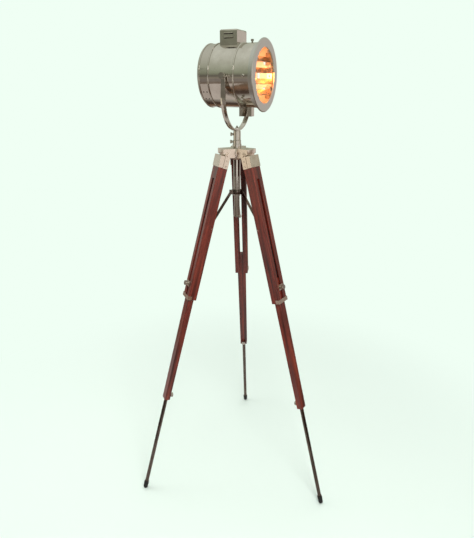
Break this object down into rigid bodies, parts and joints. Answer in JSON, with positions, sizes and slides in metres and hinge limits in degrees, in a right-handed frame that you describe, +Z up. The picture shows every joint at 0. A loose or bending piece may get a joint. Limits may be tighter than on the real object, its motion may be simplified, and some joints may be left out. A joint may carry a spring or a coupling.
{
  "type": "searchlight floor lamp",
  "caption": "Searchlight floor lamp: a louvred metal drum head tilts in a yoke on a sliding column, over a folding tripod of dark wooden telescoping legs.",
  "frame": {"origin": "on the floor, on the axis of the column", "axes": "+Z up along the column, -Y the way the lamp head faces, +X to the lamp's own left"},
  "size_m": [0.6586, 0.6408, 1.5707],
  "materials": {
    "polished_nickel": "mirror polished nickel plate on brass sheet and tube",
    "satin_nickel": "satin nickel plate",
    "louvre_steel": "dull nickel sheet",
    "reflector_aluminium": "spun and polished",
    "bulb_glass": "pearl glass",
    "holder_bakelite": "moulded",
    "mahogany": "dark French-polished mahogany",
    "black_rubber": "moulded"
  },
  "bodies": {
    "stand": {"crown": "satin_nickel", "guide_tube": "polished_nickel", "clamp_collar": "polished_nickel"},
    "column": {"column_tube": "polished_nickel", "column_end_cap": "polished_nickel", "pan_socket": "polished_nickel"},
    "yoke": {"yoke": "satin_nickel", "yoke_stud": "polished_nickel"},
    "lamp_head": {"bezel": "satin_nickel", "front_drum": "polished_nickel", "main_drum": "polished_nickel", "rear_cap": "polished_nickel", "cable_gland": "black_rubber", "louvre_slats": "louvre_steel", "louvre_brackets": "satin_nickel", "louvre_screws": "polished_nickel", "reflector": "reflector_aluminium", "lamp_holder": "holder_bakelite", "bulb": "bulb_glass", "vent_hood": "polished_nickel", "switch_box": "polished_nickel", "switch_bush": "polished_nickel", "pivot_studs": "polished_nickel"},
    "switch_lever": {"switch_lever": "polished_nickel"},
    "left_tilt_knob": {"left_tilt_knob": "polished_nickel"},
    "right_tilt_knob": {"right_tilt_knob": "polished_nickel"},
    "pan_knob": {"pan_knob": "polished_nickel"},
    "column_knob": {"column_knob": "polished_nickel"},
    "spreader": {"spreader_collar": "satin_nickel", "spreader_pins": "satin_nickel"},
    "front_leg": {"front_leg_rails": "mahogany", "front_leg_cap": "polished_nickel", "front_leg_straps": "satin_nickel", "front_leg_clip": "polished_nickel"},
    "front_upper_knob": {"front_upper_knob": "polished_nickel"},
    "front_middle": {"front_leg_middle": "mahogany"},
    "front_lower_knob": {"front_lower_knob": "polished_nickel"},
    "front_tube": {"front_leg_tube": "polished_nickel", "front_leg_foot": "black_rubber"},
    "front_strut": {"front_strut": "satin_nickel"},
    "left_leg": {"left_leg_rails": "mahogany", "left_leg_cap": "polished_nickel", "left_leg_straps": "satin_nickel", "left_leg_clip": "polished_nickel"},
    "left_upper_knob": {"left_upper_knob": "polished_nickel"},
    "left_middle": {"left_leg_middle": "mahogany"},
    "left_lower_knob": {"left_lower_knob": "polished_nickel"},
    "left_tube": {"left_leg_tube": "polished_nickel", "left_leg_foot": "black_rubber"},
    "left_strut": {"left_strut": "satin_nickel"},
    "right_leg": {"right_leg_rails": "mahogany", "right_leg_cap": "polished_nickel", "right_leg_straps": "satin_nickel", "right_leg_clip": "polished_nickel"},
    "right_upper_knob": {"right_upper_knob": "polished_nickel"},
    "right_middle": {"right_leg_middle": "mahogany"},
    "right_lower_knob": {"right_lower_knob": "polished_nickel"},
    "right_tube": {"right_leg_tube": "polished_nickel", "right_leg_foot": "black_rubber"},
    "right_strut": {"right_strut": "satin_nickel"}
  },
  "joints": [
    {"name": "column_lift", "type": "slide", "parent": "stand", "child": "column", "axis": [0, 0, 1], "range_m": [0, 0.064]},
    {"name": "head_pan", "type": "hinge", "parent": "column", "child": "yoke", "pos_m": [0, 0, 1.29036], "axis": [0, 0, 1], "range_deg": [-170, 170]},
    {"name": "head_tilt", "type": "hinge", "parent": "yoke", "child": "lamp_head", "pos_m": [0, 0, 1.44866], "axis": [-1, 0, 0], "range_deg": [-45, 75]},
    {"name": "leg_fold_front", "type": "hinge", "parent": "stand", "child": "front_leg", "pos_m": [-0.00832, -0.03913, 1.22306], "axis": [0.9781, -0.2079, 0], "range_deg": [0, 13]},
    {"name": "leg_slide_front", "type": "slide", "parent": "front_leg", "child": "front_middle", "axis": [0.0549, 0.2581, 0.9646], "range_m": [0, 0.15]},
    {"name": "leg_tube_front", "type": "slide", "parent": "front_middle", "child": "front_tube", "axis": [0.0549, 0.2581, 0.9646], "range_m": [0, 0.32]},
    {"name": "strut_swing_front", "type": "hinge", "parent": "spreader", "child": "front_strut", "pos_m": [-0.00437, -0.02054, 1.10306], "axis": [0.9781, -0.2079, 0], "range_deg": [0, 25.27]},
    {"name": "turn_upper_knob_front", "type": "hinge", "parent": "front_leg", "child": "front_upper_knob", "pos_m": [-0.03648, -0.17164, 0.81121], "axis": [-0.2005, -0.9435, 0.2639], "range_deg": [0, 180]},
    {"name": "turn_lower_knob_front", "type": "hinge", "parent": "front_middle", "child": "front_lower_knob", "pos_m": [-0.05697, -0.268, 0.39236], "axis": [0.2005, 0.9435, -0.2639], "range_deg": [0, 180]},
    {"name": "leg_fold_left", "type": "hinge", "parent": "stand", "child": "left_leg", "pos_m": [0.03804, 0.01236, 1.22306], "axis": [-0.309, 0.9511, 0], "range_deg": [0, 13]},
    {"name": "leg_slide_left", "type": "slide", "parent": "left_leg", "child": "left_middle", "axis": [-0.251, -0.0815, 0.9646], "range_m": [0, 0.15]},
    {"name": "leg_tube_left", "type": "slide", "parent": "left_middle", "child": "left_tube", "axis": [-0.251, -0.0815, 0.9646], "range_m": [0, 0.32]},
    {"name": "strut_swing_left", "type": "hinge", "parent": "spreader", "child": "left_strut", "pos_m": [0.01997, 0.00649, 1.10306], "axis": [-0.309, 0.9511, 0], "range_deg": [0, 25.27]},
    {"name": "turn_upper_knob_left", "type": "hinge", "parent": "left_leg", "child": "left_upper_knob", "pos_m": [0.16689, 0.05423, 0.81121], "axis": [0.9173, 0.2981, 0.2639], "range_deg": [0, 180]},
    {"name": "turn_lower_knob_left", "type": "hinge", "parent": "left_middle", "child": "left_lower_knob", "pos_m": [0.26058, 0.08467, 0.39236], "axis": [-0.9173, -0.2981, -0.2639], "range_deg": [0, 180]},
    {"name": "leg_fold_right", "type": "hinge", "parent": "stand", "child": "right_leg", "pos_m": [-0.02973, 0.02677, 1.22306], "axis": [-0.6691, -0.7431, 0], "range_deg": [0, 13]},
    {"name": "leg_slide_right", "type": "slide", "parent": "right_leg", "child": "right_middle", "axis": [0.1961, -0.1766, 0.9646], "range_m": [0, 0.15]},
    {"name": "leg_tube_right", "type": "slide", "parent": "right_middle", "child": "right_tube", "axis": [0.1961, -0.1766, 0.9646], "range_m": [0, 0.32]},
    {"name": "strut_swing_right", "type": "hinge", "parent": "spreader", "child": "right_strut", "pos_m": [-0.01561, 0.01405, 1.10306], "axis": [-0.6691, -0.7431, 0], "range_deg": [0, 25.27]},
    {"name": "turn_upper_knob_right", "type": "hinge", "parent": "right_leg", "child": "right_upper_knob", "pos_m": [-0.1304, 0.11742, 0.81121], "axis": [-0.7168, 0.6454, 0.2639], "range_deg": [0, 180]},
    {"name": "turn_lower_knob_right", "type": "hinge", "parent": "right_middle", "child": "right_lower_knob", "pos_m": [-0.20362, 0.18334, 0.39236], "axis": [0.7168, -0.6454, -0.2639], "range_deg": [0, 180]},
    {"name": "spreader_slide", "type": "slide", "parent": "stand", "child": "spreader", "axis": [0, 0, 1], "range_m": [0, 0.01644]},
    {"name": "switch_toggle", "type": "hinge", "parent": "lamp_head", "child": "switch_lever", "pos_m": [0.013, -0.02, 1.34766], "axis": [0, -1, 0], "range_deg": [0, 24]},
    {"name": "turn_column_knob", "type": "hinge", "parent": "stand", "child": "column_knob", "pos_m": [0, 0, 1.25956], "axis": [-0.342, 0.9397, 0], "range_deg": [0, 180]},
    {"name": "turn_pan_knob", "type": "hinge", "parent": "column", "child": "pan_knob", "pos_m": [0, 0, 1.28186], "axis": [-0.342, 0.9397, 0], "range_deg": [0, 180]},
    {"name": "turn_tilt_knob_left", "type": "hinge", "parent": "lamp_head", "child": "left_tilt_knob", "pos_m": [0.0975, 0, 1.44866], "axis": [1, 0, 0], "range_deg": [0, 180]},
    {"name": "turn_tilt_knob_right", "type": "hinge", "parent": "lamp_head", "child": "right_tilt_knob", "pos_m": [-0.0975, 0, 1.44866], "axis": [-1, 0, 0], "range_deg": [0, 180]}
  ],
  "couplings": [
    {"joint": "strut_swing_front", "follows": "leg_fold_front", "ratio": 1.94},
    {"joint": "leg_fold_left", "follows": "leg_fold_front", "ratio": 1},
    {"joint": "strut_swing_left", "follows": "leg_fold_front", "ratio": 1.94},
    {"joint": "leg_fold_right", "follows": "leg_fold_front", "ratio": 1},
    {"joint": "strut_swing_right", "follows": "leg_fold_front", "ratio": 1.94},
    {"joint": "spreader_slide", "follows": "leg_fold_front", "m_per_rad": 0.072}
  ]
}
